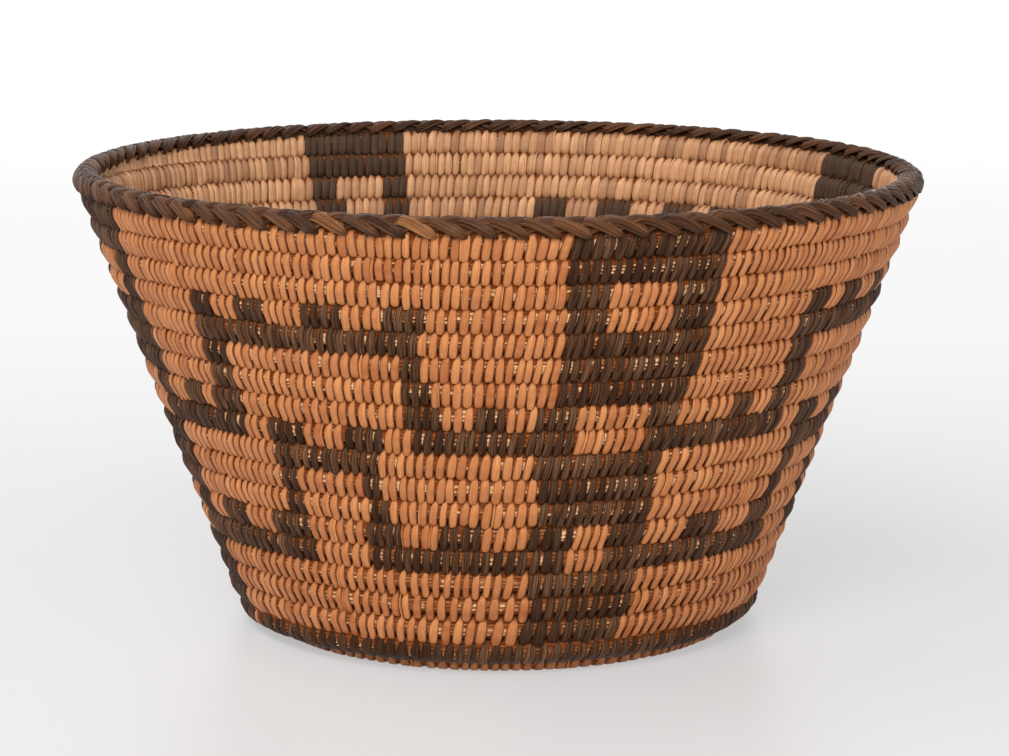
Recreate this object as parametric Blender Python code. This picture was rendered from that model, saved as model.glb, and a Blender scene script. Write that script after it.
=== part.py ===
"""Coiled basket bowl, modelled as it is made.

One grass bundle is wound in a spiral from a plaited knot at the middle of the base. It lies flat for
the base courses, turns up at the foot and is stacked into a flaring wall. At the top it tapers out, so
that the rim ends level, and a herringbone braid is worked over the last course. The bundle is fed in
lengths of just under a turn, each an object of its own, butted end to end, so that the splices walk
round the bowl and never line up.

Metres, +Z up, the front of the bowl towards -Y, the origin under the middle of the base.
"""
import functools
import math

import bpy
from mathutils import Vector

# The sewn coil
COIL_FOOT_DIAMETER = 0.00653    # across the sewn bundle on the base and at the foot of the wall
COIL_RIM_DIAMETER = 0.00605     # the maker's bundle thins as the wall goes up
SEAT_GAP = 0.0003               # between pieces that lie on each other
FEED_GAP = 0.0005               # between the butted ends of two lengths of the bundle

# The base
KNOT_RADIUS = 0.0043            # the knotted start at the middle, where the coil leaves it
KNOT_ROUNDING = 0.0005          # of its edges
BASE_COURSES = 8                # turns that lie flat
BASE_LENGTHS = 9                # lengths of bundle that those turns are fed with
FOOT_FLAT = 0.0005              # how deep the underside is pressed flat
TOP_FLAT = 0.0005               # how deep the inside of the base is pressed flat

# The wall
WALL_COURSES = 18               # turns stacked on the base, the last one at the rim
WALL_LENGTHS = 19               # lengths of bundle in the wall
WALL_FLARE = math.radians(20.3)  # lean of the wall from upright
TURN_UP_RADIUS = 0.0060         # bend of the coil's centres from base to wall
CLIMB_SHARE = 0.25              # part of a turn, each side of the left, in which the coil climbs a course
TAIL_END_RADIUS = 0.00082       # the tapered end of the coil runs on until it is no thicker than this

# The rim braid, which straddles the last course
BRAID_CROSSINGS = 96            # strands that cross the rim, counted round it
BRAID_TOP_THICKNESS = 0.0028    # over the middle of the coil
BRAID_SHOULDER_THICKNESS = 0.0020
BRAID_TIP_THICKNESS = 0.0012    # at the strands' tips, low on both sides of the coil
BRAID_SHOULDER_ANGLE = math.radians(63)  # up from level, round the coil's centre
BRAID_TIP_ANGLE = math.radians(39)
BRAID_SEAT_ANGLE = math.radians(52)
BRAID_GROOVE = 0.0007           # depth of the valleys between strands
BRAID_SWEEP = 0.0088            # how far a strand runs along the rim on its way from the top to its tip

# Points in one turn
KNOT_SEGMENTS = 24
BASE_SEGMENTS = 36
WALL_SEGMENTS = 32
RIM_SEGMENTS = 64

WILLOW = (0.56, 0.27, 0.10)
DEVILS_CLAW = (0.045, 0.028, 0.018)
BRAID_BROWN = (0.055, 0.028, 0.015)

COIL_TURNS = BASE_COURSES + WALL_COURSES
COIL_FOOT_RADIUS = COIL_FOOT_DIAMETER / 2
BASE_THICKNESS = COIL_FOOT_DIAMETER - FOOT_FLAT - TOP_FLAT
BASE_CENTRE_HEIGHT = COIL_FOOT_RADIUS - FOOT_FLAT
BASE_START_RADIUS = KNOT_RADIUS + SEAT_GAP + COIL_FOOT_RADIUS
BASE_TURN_UP_RADIUS = BASE_START_RADIUS + (BASE_COURSES - 0.5) * (COIL_FOOT_DIAMETER + SEAT_GAP)


def clear_scene():
    for obj in list(bpy.data.objects):
        bpy.data.objects.remove(obj, do_unlink=True)


def collection(name, shown=True):
    made = bpy.data.collections.new(name)
    bpy.context.scene.collection.children.link(made)
    made.hide_render = not shown
    return made


def material(name, colour, roughness):
    made = bpy.data.materials.new(name)
    made.use_nodes = True
    shader = made.node_tree.nodes["Principled BSDF"]
    shader.inputs["Base Color"].default_value = (*colour, 1.0)
    shader.inputs["Roughness"].default_value = roughness
    shader.inputs["Metallic"].default_value = 0.0
    made.diffuse_color = (*colour, 1.0)
    return made


def coil_radius(turns):
    """Half the coil's thickness after so many turns: full on the base, then thinning to the rim."""
    share = max(0.0, turns - BASE_COURSES) / WALL_COURSES
    return (COIL_FOOT_DIAMETER + (COIL_RIM_DIAMETER - COIL_FOOT_DIAMETER) * share) / 2


def climb(turns):
    """Part of a course gained by this share of a turn: climbing past the left, level from front to back."""
    share = turns % 1.0
    if share < CLIMB_SHARE:
        return 0.5 * math.sin(math.pi / 2 * share / CLIMB_SHARE)
    if share > 1 - CLIMB_SHARE:
        return 1 - 0.5 * math.sin(math.pi / 2 * (1 - share) / CLIMB_SHARE)
    return 0.5


def climb_rate(turns):
    """Courses gained per turn at this share of a turn."""
    from_left = min(turns % 1.0, -turns % 1.0)
    if from_left > CLIMB_SHARE:
        return 0.0
    return math.pi / 4 / CLIMB_SHARE * math.cos(math.pi / 2 * from_left / CLIMB_SHARE)


def spacing_at(turns, radius):
    """From the coil's centre after so many turns, at this radius, to its centre one turn later. Where the
    coil climbs, it crosses the profile aslant and takes more of it."""
    pitch = coil_radius(turns) + coil_radius(turns + 1) + SEAT_GAP
    return pitch * math.hypot(1, climb_rate(turns) * pitch / (2 * math.pi * radius))


def profile(run):
    """Radius, height and slope of the coil's centre line at this distance along the bowl's profile."""
    turn_up_at = BASE_TURN_UP_RADIUS - BASE_START_RADIUS
    bend = math.pi / 2 - WALL_FLARE
    bend_run = TURN_UP_RADIUS * bend
    if run <= turn_up_at:
        return BASE_START_RADIUS + run, BASE_CENTRE_HEIGHT, 0.0
    if run <= turn_up_at + bend_run:
        turned = (run - turn_up_at) / TURN_UP_RADIUS
        radius = BASE_START_RADIUS + turn_up_at + TURN_UP_RADIUS * math.sin(turned)
        return radius, BASE_CENTRE_HEIGHT + TURN_UP_RADIUS * (1 - math.cos(turned)), turned
    rest = run - turn_up_at - bend_run
    radius = BASE_START_RADIUS + turn_up_at + TURN_UP_RADIUS * math.sin(bend) + rest * math.cos(bend)
    height = BASE_CENTRE_HEIGHT + TURN_UP_RADIUS * (1 - math.cos(bend)) + rest * math.sin(bend)
    return radius, height, bend


def seated_run(run, spacing):
    """Where along the profile the next course's centre lies, this far from the centre at run."""
    radius, height, _ = profile(run)
    near, far = run, run + 2 * spacing
    for _ in range(40):
        middle = (near + far) / 2
        there = profile(middle)
        if math.hypot(there[0] - radius, there[1] - height) < spacing:
            near = middle
        else:
            far = middle
    return near


@functools.lru_cache(maxsize=None)
def run_after(turns):
    """Distance along the profile after so many turns of the coil: each turn seats on the last."""
    if turns < 1:
        return climb(turns) * spacing_at(0, BASE_START_RADIUS)
    below = run_after(turns - 1)
    return seated_run(below, spacing_at(turns - 1, profile(below)[0]))


def coil_after(turns):
    """The coil's centre line and radius after so many turns, with its end tapered to a level rim."""
    if turns <= COIL_TURNS - 1:
        return run_after(turns), coil_radius(turns)
    level = COIL_TURNS - 0.5
    rim_top = run_after(level) + coil_radius(level)
    seat = run_after(turns - 1) + coil_radius(turns - 1) + SEAT_GAP
    radius = min((rim_top - seat) / 2, coil_radius(turns))
    return seat + radius, radius


def round_point(radius, turns, height=0.0):
    """The coil starts at the left and goes counterclockwise, seen from above."""
    angle = math.pi + 2 * math.pi * turns
    return Vector((radius * math.cos(angle), radius * math.sin(angle), height))


def coil_point(run, turns):
    radius, height, _ = profile(run)
    return round_point(radius, turns, height)


def stations(begin, end, segments):
    """Where a length of the coil gets its points, in turns: evenly round the bowl, drawn in at both ends
    by half the gap between two lengths, and close in by each end, so that the ends are cut square."""
    begin += FEED_GAP / 2 / (2 * math.pi * profile(run_after(begin))[0])
    end -= FEED_GAP / 2 / (2 * math.pi * profile(run_after(end))[0])
    close = 0.25 / segments
    first = math.ceil((begin + 2 * close) * segments)
    last = math.floor((end - 2 * close) * segments)
    evenly = [step / segments for step in range(first, last + 1)]
    return [begin, begin + close] + evenly + [end - close, end]


def pressed_section(home):
    """The base coil's section: pressed flat below and, on the inside of the bowl, above."""
    low = -(COIL_FOOT_RADIUS - FOOT_FLAT)
    high = COIL_FOOT_RADIUS - TOP_FLAT
    side = COIL_FOOT_RADIUS
    corner = COIL_FOOT_RADIUS / 2
    outline = [(side, 0), (corner, low), (-corner, low), (-side, 0), (-corner, high), (corner, high)]
    curve = bpy.data.curves.new("pressed_section", "CURVE")
    spline = curve.splines.new("POLY")
    spline.use_cyclic_u = True
    spline.points.add(len(outline) - 1)
    for point, (across, up) in zip(spline.points, outline):
        point.co = (across, up, 0.0, 1.0)
    made = bpy.data.objects.new("pressed_section", curve)
    made.hide_render = True
    made.display_type = "WIRE"
    home.objects.link(made)
    return made


def coil_length(name, places, finish, home, section=None):
    """One length of the sewn bundle: a round tube that leans with the wall, or the base's pressed section."""
    curve = bpy.data.curves.new(name, "CURVE")
    curve.dimensions = "3D"
    curve.twist_mode = "Z_UP"
    curve.use_fill_caps = True
    if section:
        curve.bevel_mode = "OBJECT"
        curve.bevel_object = section
    else:
        curve.bevel_resolution = 2
        curve.bevel_depth = COIL_FOOT_RADIUS
    spline = curve.splines.new("POLY")
    spline.points.add(len(places) - 1)
    for point, turns in zip(spline.points, places):
        run, radius = coil_after(turns)
        point.co = (*coil_point(run, turns), 1.0)
        point.radius = radius / COIL_FOOT_RADIUS
        point.tilt = 0.0 if section else profile(run)[2]
    curve.materials.append(finish)
    made = bpy.data.objects.new(name, curve)
    home.objects.link(made)


def base_coil(home, finish):
    section = pressed_section(collection("guides", shown=False))
    step = BASE_COURSES / BASE_LENGTHS
    for count in range(BASE_LENGTHS):
        places = stations(count * step, (count + 1) * step, BASE_SEGMENTS)
        coil_length(f"base_coil_{count + 1:02d}", places, finish, home, section)


def wall_coil(home, foot_finish, finish):
    """The lengths of the wall, the first of them sewn dark. The last is the rim's."""
    step = WALL_COURSES / WALL_LENGTHS
    for count in range(WALL_LENGTHS - 1):
        begin = BASE_COURSES + count * step
        places = stations(begin, begin + step, WALL_SEGMENTS)
        coil_length(f"wall_coil_{count + 1:02d}", places, finish if count else foot_finish, home)
    coil_length("rim_coil", stations(COIL_TURNS - step, COIL_TURNS, RIM_SEGMENTS), finish, home)


def coil_tail(home, finish):
    """The tapered end of the bundle, laid on the start of the last turn until it runs out."""
    places = stations(COIL_TURNS, COIL_TURNS + CLIMB_SHARE, RIM_SEGMENTS)
    thick = [turns for turns in places if coil_after(turns)[1] > TAIL_END_RADIUS]
    coil_length("coil_tail", places[:len(thick) + 1], finish, home)


def beside_coil(turns, inward, back=0.0):
    """A point so far inward of the coil's centre line and so far back along it, square to its run."""
    here = coil_point(run_after(turns), turns)
    ahead = coil_point(run_after(turns + 0.001), turns + 0.001)
    along = (ahead - here).normalized()
    return here + Vector((-along.y, along.x, 0.0)) * inward - along * back


def start_knot(home, finish):
    """The knotted start, a snail shape: the coil leaves it at the step at the left and winds round it."""
    clear = COIL_FOOT_RADIUS + SEAT_GAP
    step_foot = beside_coil(0.0, clear, back=FEED_GAP / 2)
    step_head = beside_coil(0.0, -COIL_FOOT_RADIUS, back=FEED_GAP / 2)
    winding = [beside_coil(step / KNOT_SEGMENTS, clear) for step in range(1, KNOT_SEGMENTS - 1)]
    outline = [step_foot] + winding + [step_head]
    curve = bpy.data.curves.new("start_knot", "CURVE")
    curve.dimensions = "2D"
    curve.fill_mode = "BOTH"
    curve.extrude = BASE_THICKNESS / 2 - KNOT_ROUNDING
    curve.bevel_depth = KNOT_ROUNDING
    curve.offset = -KNOT_ROUNDING
    spline = curve.splines.new("POLY")
    spline.use_cyclic_u = True
    spline.points.add(len(outline) - 1)
    for point, corner in zip(spline.points, outline):
        point.co = (corner.x, corner.y, 0.0, 1.0)
    curve.materials.append(finish)
    made = bpy.data.objects.new("start_knot", curve)
    made.location.z = BASE_THICKNESS / 2
    home.objects.link(made)


def braid_section():
    """Across and up from the centre of the last course, along its tilt, and how deep valleys cut there."""
    seat = coil_radius(COIL_TURNS - 0.5) + SEAT_GAP
    one_side = [
        (BRAID_SHOULDER_ANGLE, seat + BRAID_SHOULDER_THICKNESS, BRAID_GROOVE),
        (BRAID_TIP_ANGLE, seat + BRAID_TIP_THICKNESS, BRAID_GROOVE),
        (BRAID_SEAT_ANGLE, seat, 0.0),
    ]
    other_side = [(math.pi - angle, reach, groove) for angle, reach, groove in reversed(one_side)]
    top = (math.pi / 2, seat + BRAID_TOP_THICKNESS, BRAID_GROOVE / 2)
    underneath = (math.pi / 2, seat, 0.0)
    return [top] + one_side + [underneath] + other_side


def rim_braid(home, finish):
    """A ring of strands over the last course: each sweeps along the rim from the top down either side."""
    centre_radius, centre_height, slope = profile(run_after(COIL_TURNS - 0.5))
    lean = math.pi / 2 - slope
    section = braid_section()
    columns = 2 * BRAID_CROSSINGS
    vertices = []
    for column in range(columns):
        valley = column % 2
        for angle, reach, groove in section:
            out = (reach - valley * groove) * math.cos(angle - lean)
            up = (reach - valley * groove) * math.sin(angle - lean)
            swept = BRAID_SWEEP * abs(math.cos(angle)) / math.cos(BRAID_TIP_ANGLE) / centre_radius
            bearing = 2 * math.pi * column / columns + swept
            radius = centre_radius + out
            vertices.append((radius * math.cos(bearing), radius * math.sin(bearing), centre_height + up))
    size = len(section)
    faces = []
    for column in range(columns):
        here = column * size
        there = (column + 1) % columns * size
        for corner in range(size):
            after = (corner + 1) % size
            faces.append((here + corner, here + after, there + after, there + corner))
    mesh = bpy.data.meshes.new("rim_braid")
    mesh.from_pydata(vertices, [], faces)
    mesh.materials.append(finish)
    made = bpy.data.objects.new("rim_braid", mesh)
    home.objects.link(made)


def print_least_gap():
    """How near the turns of the coil come to each other, measured between its points."""
    per_turn = 3 * BASE_SEGMENTS
    places = [step / per_turn for step in range(per_turn * COIL_TURNS)]
    centres = [coil_point(coil_after(turns)[0], turns) for turns in places]
    radii = [coil_after(turns)[1] for turns in places]
    nearby = per_turn // 12
    least = math.inf
    for index in range(len(places) - per_turn - nearby):
        for other in range(index + per_turn - nearby, index + per_turn + nearby):
            apart = (centres[other] - centres[index]).length
            least = min(least, apart - radii[index] - radii[other])
    print(f"least gap between turns of the coil: {least * 1000:.2f} mm")


def build():
    clear_scene()
    basket = collection("coiled_basket")
    willow = material("willow_sewing", WILLOW, 0.6)
    claw = material("devils_claw_sewing", DEVILS_CLAW, 0.5)
    start_knot(basket, claw)
    base_coil(basket, willow)
    wall_coil(basket, claw, willow)
    coil_tail(basket, willow)
    rim_braid(basket, material("devils_claw_braid", BRAID_BROWN, 0.35))
    print_least_gap()


build()
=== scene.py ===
"""Coiled basket bowl: its looks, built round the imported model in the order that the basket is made.

The bundle of stems winds up from the knot, splints are sewn round it turn by turn, and the rim is
braided last. Metres, +Z up, the front towards -Y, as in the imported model.
"""
import math

import bpy
import numpy as np
from mathutils import Matrix, Vector


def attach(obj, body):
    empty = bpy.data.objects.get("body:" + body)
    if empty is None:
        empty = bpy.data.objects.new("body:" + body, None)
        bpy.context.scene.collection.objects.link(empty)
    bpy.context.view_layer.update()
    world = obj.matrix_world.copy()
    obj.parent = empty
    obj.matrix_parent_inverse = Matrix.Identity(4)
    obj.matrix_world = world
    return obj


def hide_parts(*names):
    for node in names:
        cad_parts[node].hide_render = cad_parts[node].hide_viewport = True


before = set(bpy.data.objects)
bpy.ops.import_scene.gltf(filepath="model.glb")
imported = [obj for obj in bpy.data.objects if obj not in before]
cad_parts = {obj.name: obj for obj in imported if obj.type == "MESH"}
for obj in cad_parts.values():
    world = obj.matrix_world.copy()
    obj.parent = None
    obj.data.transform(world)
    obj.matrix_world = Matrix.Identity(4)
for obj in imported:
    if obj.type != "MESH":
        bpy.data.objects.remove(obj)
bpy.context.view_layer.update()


# The foundation bundle
# One bundle of split stems in a spiral: flat over the base, then stacked up the flaring wall, each turn
# seated on the one below. It starts thin beside the knot, is fed with fresh stems as it goes, and tapers
# out at the left of the rim so that the rim ends level.
FOOT_THICKNESS = 0.00653          # over the sewing, on the base and at the foot of the wall
RIM_THICKNESS = 0.00605
SEAT_GAP = 0.0003                 # between one turn's sewing and the next
KNOT_RADIUS = 0.0043
BASE_TURNS = 8
WALL_TURNS = 18
UNDERSIDE_FLAT = 0.0005           # the base is pressed this flat by standing
WALL_FLARE = math.radians(20.3)
TURN_UP_RADIUS = 0.0060
CLIMB_SHARE = 0.25                # of a turn, each side of the left, in which the coil climbs a course
THINNEST_END = 0.0008             # half thickness, below which the tapered ends stop
SPLINT_THICKNESS = 0.00058
BASE_LENGTHS = 9                  # the stems are fed in by lengths of a little under a turn
WALL_LENGTHS = 19                 # the last of them is the rim's
STEMS = 18                        # that show round the bundle
STEM_RELIEF = 0.00010
STEM_TWIST = 1.3                  # radians that the stems turn round each other in a turn of the coil
STEM_PITCH = 0.0005               # from one stem's ridge to the hollow beside it
WEB_REACH = 0.00150               # how far the bundles bulge to meet between two turns
WEB_SHARPNESS = 12                # more of it makes the bulge narrower
PLACES = 720                      # round each turn, where the route is worked out
HALVINGS = 40                     # in the search for each turn's seat
STRAW = (0.78, 0.46, 0.24)
STRAW_BROWN = (0.33, 0.106, 0.024)
STRAW_SHADED = (0.13, 0.022, 0.003)
STRAW_GOLD = (0.52, 0.235, 0.085)

TURNS = BASE_TURNS + WALL_TURNS
share = np.arange(PLACES) / PLACES
from_left = np.minimum(share, 1 - share)
risen = 0.5 * np.sin(np.pi / 2 * np.minimum(from_left / CLIMB_SHARE, 1))
climb = np.where(share < 0.5, risen, 1 - risen)
slowing = np.cos(np.pi / 2 * np.minimum(from_left / CLIMB_SHARE, 1))
climb_rate = np.pi / 4 / CLIMB_SHARE * slowing

FIRST_RADIUS = KNOT_RADIUS + SEAT_GAP + FOOT_THICKNESS / 2
TURN_UP_AT = (BASE_TURNS - 0.5) * (FOOT_THICKNESS + SEAT_GAP)
BEND = math.pi / 2 - WALL_FLARE


def half_thickness(turns):
    """Half the coil's thickness over its sewing, which shrinks evenly up the wall."""
    grown = np.clip((turns - BASE_TURNS) / WALL_TURNS, 0, 1)
    return (FOOT_THICKNESS + (RIM_THICKNESS - FOOT_THICKNESS) * grown) / 2


def profile(run):
    """Radius and height of the coil's centre this far along the bowl's profile."""
    bent = np.clip((run - TURN_UP_AT) / TURN_UP_RADIUS, 0, BEND)
    straight = np.maximum(run - TURN_UP_AT - TURN_UP_RADIUS * BEND, 0)
    out = np.minimum(run, TURN_UP_AT) + TURN_UP_RADIUS * np.sin(bent) + straight * math.cos(BEND)
    up = TURN_UP_RADIUS * (1 - np.cos(bent)) + straight * math.sin(BEND)
    return FIRST_RADIUS + out, FOOT_THICKNESS / 2 - UNDERSIDE_FLAT + up


def pitch(turns, radius):
    """From one turn's centre to the next one's, more where the coil climbs aslant."""
    across = half_thickness(turns) + half_thickness(turns + 1) + SEAT_GAP
    return across * np.hypot(1, climb_rate * across / (2 * np.pi * radius))


def seated(run):
    """Where the next turn's centre lies, one pitch from this one's and further along the profile."""
    radius, height = profile(run)
    apart = pitch(turn + share, radius)
    near, far = run, run + 2 * apart
    for _ in range(HALVINGS):
        middle = (near + far) / 2
        next_radius, next_height = profile(middle)
        short = np.hypot(next_radius - radius, next_height - height) < apart
        near, far = np.where(short, middle, near), np.where(short, far, middle)
    return near


turn_runs = [climb * pitch(share, FIRST_RADIUS)]
for turn in range(TURNS):
    turn_runs.append(seated(turn_runs[-1]))
all_turns = np.arange((TURNS + 1) * PLACES) / PLACES
coil_run = np.concatenate(turn_runs)
coil_half = half_thickness(all_turns)

last_turn = all_turns > TURNS - 1
level_at = (TURNS * 2 - 1) * PLACES // 2
seat = (coil_run + coil_half)[np.flatnonzero(last_turn) - PLACES] + SEAT_GAP
left = coil_run[level_at] + coil_half[level_at] - seat
coil_half[last_turn] = np.minimum(left / 2, coil_half[last_turn])
coil_run[last_turn] = seat + coil_half[last_turn]
coil_radius, coil_height = profile(coil_run)

# The thin start lies between the knot and the first turn.
start_half = FOOT_THICKNESS / 2 * climb
all_turns = np.concatenate([share - 1, all_turns])
coil_half = np.concatenate([start_half, coil_half])
coil_radius = np.concatenate([KNOT_RADIUS + start_half, coil_radius])
coil_height = np.concatenate([np.full(PLACES, coil_height[0]), coil_height])
thick = coil_half > THINNEST_END
COIL_BEGIN = all_turns[thick].min()
COIL_END = all_turns[thick].max()

slope_below = np.zeros(len(all_turns))
rise_from_below = coil_height[PLACES:] - coil_height[:-PLACES]
slope_below[PLACES:] = np.arctan2(rise_from_below, coil_radius[PLACES:] - coil_radius[:-PLACES])
slope_above = np.append(slope_below[PLACES:], slope_below[-PLACES:])


def at(turns, values):
    """What a measure of the coil is at these places on it."""
    return np.interp(turns, all_turns, values)


def beside_line(turns, radius, height, outward, upward, slope):
    """Points off a line round the bowl, outward from the wall and up it, in a plane across the line. The
    turns are counted from the left, counterclockwise as seen from above."""
    radius = radius + outward * np.sin(slope) + upward * np.cos(slope)
    height = height - outward * np.cos(slope) + upward * np.sin(slope)
    bearing = 2 * np.pi * (turns + 0.5)
    right = radius * np.cos(bearing)
    back = radius * np.sin(bearing)
    return np.stack(np.broadcast_arrays(right, back, height), axis=-1)


def beside_coil(turns, outward, upward, slope):
    """Points off the coil's centre line."""
    return beside_line(turns, at(turns, coil_radius), at(turns, coil_height), outward, upward, slope)


SHARP_FROM = math.radians(65)     # strands shade smooth up to this corner, so that their ends stay crisp


def strand_piece(name, points, fibre, finish, material, nodes):
    """A piece made of closed strands, from an array of strands, rings, corners and coordinates. fibre is
    the distance along and across the grain, then the strand's own number. finish is three values for the
    material: on a splint its tone, how far it faces the bowl's inside, and how near its edge it is."""
    strands, rings, corners, _ = points.shape
    number = np.arange(strands * rings * corners).reshape(strands, rings, corners)
    beside = np.roll(number, -1, axis=2)
    sides = np.stack([number[:, :-1], beside[:, :-1], beside[:, 1:], number[:, 1:]], axis=-1)
    ends = np.concatenate([number[:, 0, ::-1], number[:, -1]])
    sizes = np.repeat([4, corners], [sides.size // 4, len(ends)])
    mesh = bpy.data.meshes.new(name)
    mesh.vertices.add(number.size)
    mesh.vertices.foreach_set("co", points.astype(np.float32).ravel())
    mesh.loops.add(sides.size + ends.size)
    corners_of_faces = np.concatenate([sides.ravel(), ends.ravel()])
    mesh.loops.foreach_set("vertex_index", corners_of_faces.astype(np.int32))
    mesh.polygons.add(len(sizes))
    mesh.polygons.foreach_set("loop_start", (np.cumsum(sizes) - sizes).astype(np.int32))
    mesh.update(calc_edges=True)
    for attribute, values in (("fibre", fibre), ("finish", finish)):
        made = mesh.attributes.new(attribute, "FLOAT_VECTOR", "POINT")
        spread = np.stack(np.broadcast_arrays(*values, number)[:3], axis=-1)
        made.data.foreach_set("vector", spread.astype(np.float32).ravel())
    mesh.shade_smooth()
    mesh.set_sharp_from_angle(angle=SHARP_FROM)
    mesh.materials.append(material)
    piece = bpy.data.objects.new(name, mesh)
    bpy.context.scene.collection.objects.link(piece)
    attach(piece, "root")
    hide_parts(*nodes)
    return piece


def group_tree(name, inputs, outputs):
    """A shader node group with these sockets, its input and output nodes made."""
    tree = bpy.data.node_groups.new(name, "ShaderNodeTree")
    for label, kind in inputs:
        tree.interface.new_socket(name=label, in_out="INPUT", socket_type=kind)
    for label, kind in outputs:
        tree.interface.new_socket(name=label, in_out="OUTPUT", socket_type=kind)
    return tree, tree.nodes.new("NodeGroupInput"), tree.nodes.new("NodeGroupOutput")


def math_node(tree, operation, first, second, clamp=False):
    """Arithmetic on two values, each a socket or a plain number."""
    node = tree.nodes.new("ShaderNodeMath")
    node.operation = operation
    node.use_clamp = clamp
    for socket, value in zip(node.inputs, (first, second)):
        if isinstance(value, bpy.types.NodeSocket):
            tree.links.new(value, socket)
        else:
            socket.default_value = value
    return node.outputs[0]


def mixed(tree, factor, first, second):
    """A mix of two colours, each a socket or a plain colour."""
    node = tree.nodes.new("ShaderNodeMix")
    node.data_type = "RGBA"
    sockets = (node.inputs["Factor"], node.inputs[6], node.inputs[7])
    for socket, value in zip(sockets, (factor, first, second)):
        if isinstance(value, bpy.types.NodeSocket):
            tree.links.new(value, socket)
        else:
            socket.default_value = (*value, 1.0) if isinstance(value, tuple) else value
    return node.outputs[2]


def stepped(tree, value, low, high):
    """0 below low and 1 above high, smooth between."""
    node = tree.nodes.new("ShaderNodeMapRange")
    node.interpolation_type = "SMOOTHSTEP"
    tree.links.new(value, node.inputs["Value"])
    node.inputs["From Min"].default_value = low
    node.inputs["From Max"].default_value = high
    return node.outputs["Result"]


def split_grain_group():
    """Long fibres of a split stem. It follows the strand, in millimetres, and differs on each strand."""
    tree, given, result = group_tree(
        "split_grain",
        [("Lines per mm", "NodeSocketFloat"), ("Waver per mm", "NodeSocketFloat")],
        [("Lines", "NodeSocketFloat"), ("Patches", "NodeSocketFloat"), ("Specks", "NodeSocketFloat")],
    )
    fibre = tree.nodes.new("ShaderNodeAttribute")
    fibre.attribute_name = "fibre"
    parts = tree.nodes.new("ShaderNodeSeparateXYZ")
    tree.links.new(fibre.outputs["Vector"], parts.inputs[0])
    length = math_node(tree, "MULTIPLY", parts.outputs["X"], 1000.0)
    width = math_node(tree, "MULTIPLY", parts.outputs["Y"], 1000.0)

    def noise(along, across, detail):
        place = tree.nodes.new("ShaderNodeCombineXYZ")
        tree.links.new(math_node(tree, "MULTIPLY", length, along), place.inputs["X"])
        tree.links.new(math_node(tree, "MULTIPLY", width, across), place.inputs["Y"])
        tree.links.new(parts.outputs["Z"], place.inputs["Z"])
        cloud = tree.nodes.new("ShaderNodeTexNoise")
        cloud.inputs["Scale"].default_value = 1.0
        cloud.inputs["Detail"].default_value = detail
        tree.links.new(place.outputs[0], cloud.inputs["Vector"])
        return cloud.outputs["Fac"]

    lines = noise(given.outputs["Waver per mm"], given.outputs["Lines per mm"], 3.0)
    tree.links.new(stepped(tree, lines, 0.32, 0.68), result.inputs["Lines"])
    tree.links.new(stepped(tree, noise(0.34, 0.16, 2.0), 0.35, 0.65), result.inputs["Patches"])
    tree.links.new(stepped(tree, noise(2.2, 3.4, 2.0), 0.67, 0.76), result.inputs["Specks"])
    return tree


split_grain = split_grain_group()


def grain_in(tree, lines_per_mm, waver_per_mm):
    """The sockets of a split_grain group: Lines, Patches and Specks."""
    node = tree.nodes.new("ShaderNodeGroup")
    node.node_tree = split_grain
    node.inputs["Lines per mm"].default_value = lines_per_mm
    node.inputs["Waver per mm"].default_value = waver_per_mm
    return node.outputs


def finish_in(tree):
    """The three values of finish, as strand_piece stores them."""
    finish = tree.nodes.new("ShaderNodeAttribute")
    finish.attribute_name = "finish"
    parts = tree.nodes.new("ShaderNodeSeparateXYZ")
    tree.links.new(finish.outputs["Vector"], parts.inputs[0])
    return parts.outputs["X"], parts.outputs["Y"], parts.outputs["Z"]


def new_material(name, specular):
    """A new material with this strength of reflection, with its node tree and shader."""
    material = bpy.data.materials.new(name)
    material.use_nodes = True
    tree = material.node_tree
    shader = tree.nodes["Principled BSDF"]
    shader.inputs["Specular IOR Level"].default_value = specular
    return material, tree, shader


def raise_grain(tree, shader, lines, depth):
    """Ridges this deep along the fibres."""
    ridges = tree.nodes.new("ShaderNodeBump")
    ridges.inputs["Distance"].default_value = depth
    tree.links.new(lines, ridges.inputs["Height"])
    tree.links.new(ridges.outputs["Normal"], shader.inputs["Normal"])


def roughen(tree, shader, lines, smoothest, more):
    """The fibres' tops are rougher than the hollows between them, by this much more."""
    rough = math_node(tree, "ADD", math_node(tree, "MULTIPLY", lines, more), smoothest)
    tree.links.new(rough, shader.inputs["Roughness"])


def bundle_material():
    """Dry stems: brown and shaded in the hollows, straw-coloured in patches, golden near the foot."""
    material, tree, shader = new_material("bundle_stems", 0.06)
    shader.inputs["Roughness"].default_value = 0.62
    grain = grain_in(tree, 3.0, 0.25)
    straw, golden, hollow = finish_in(tree)
    shown = stepped(tree, math_node(tree, "MULTIPLY", grain["Patches"], straw), 0.30, 0.52)
    brown = mixed(tree, golden, STRAW_BROWN, STRAW_GOLD)
    # Painted shade: the hollows between the stems go dark toward STRAW_SHADED and show less pale straw.
    lit = math_node(tree, "SUBTRACT", 1.0, math_node(tree, "MULTIPLY", hollow, 0.60))
    brown = mixed(tree, math_node(tree, "MULTIPLY", lit, grain["Lines"]), STRAW_SHADED, brown)
    pale = math_node(tree, "SUBTRACT", 1.0, math_node(tree, "MULTIPLY", hollow, 0.22))
    colour = mixed(tree, math_node(tree, "MULTIPLY", shown, pale), brown, STRAW)
    tree.links.new(colour, shader.inputs["Base Color"])
    raise_grain(tree, shader, grain["Lines"], 0.00012)
    return material


bundle_stems = bundle_material()
rng = np.random.default_rng(1926)
BUNDLE_RINGS = 260                # round each turn
BUNDLE_CORNERS = 2 * STEMS


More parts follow.
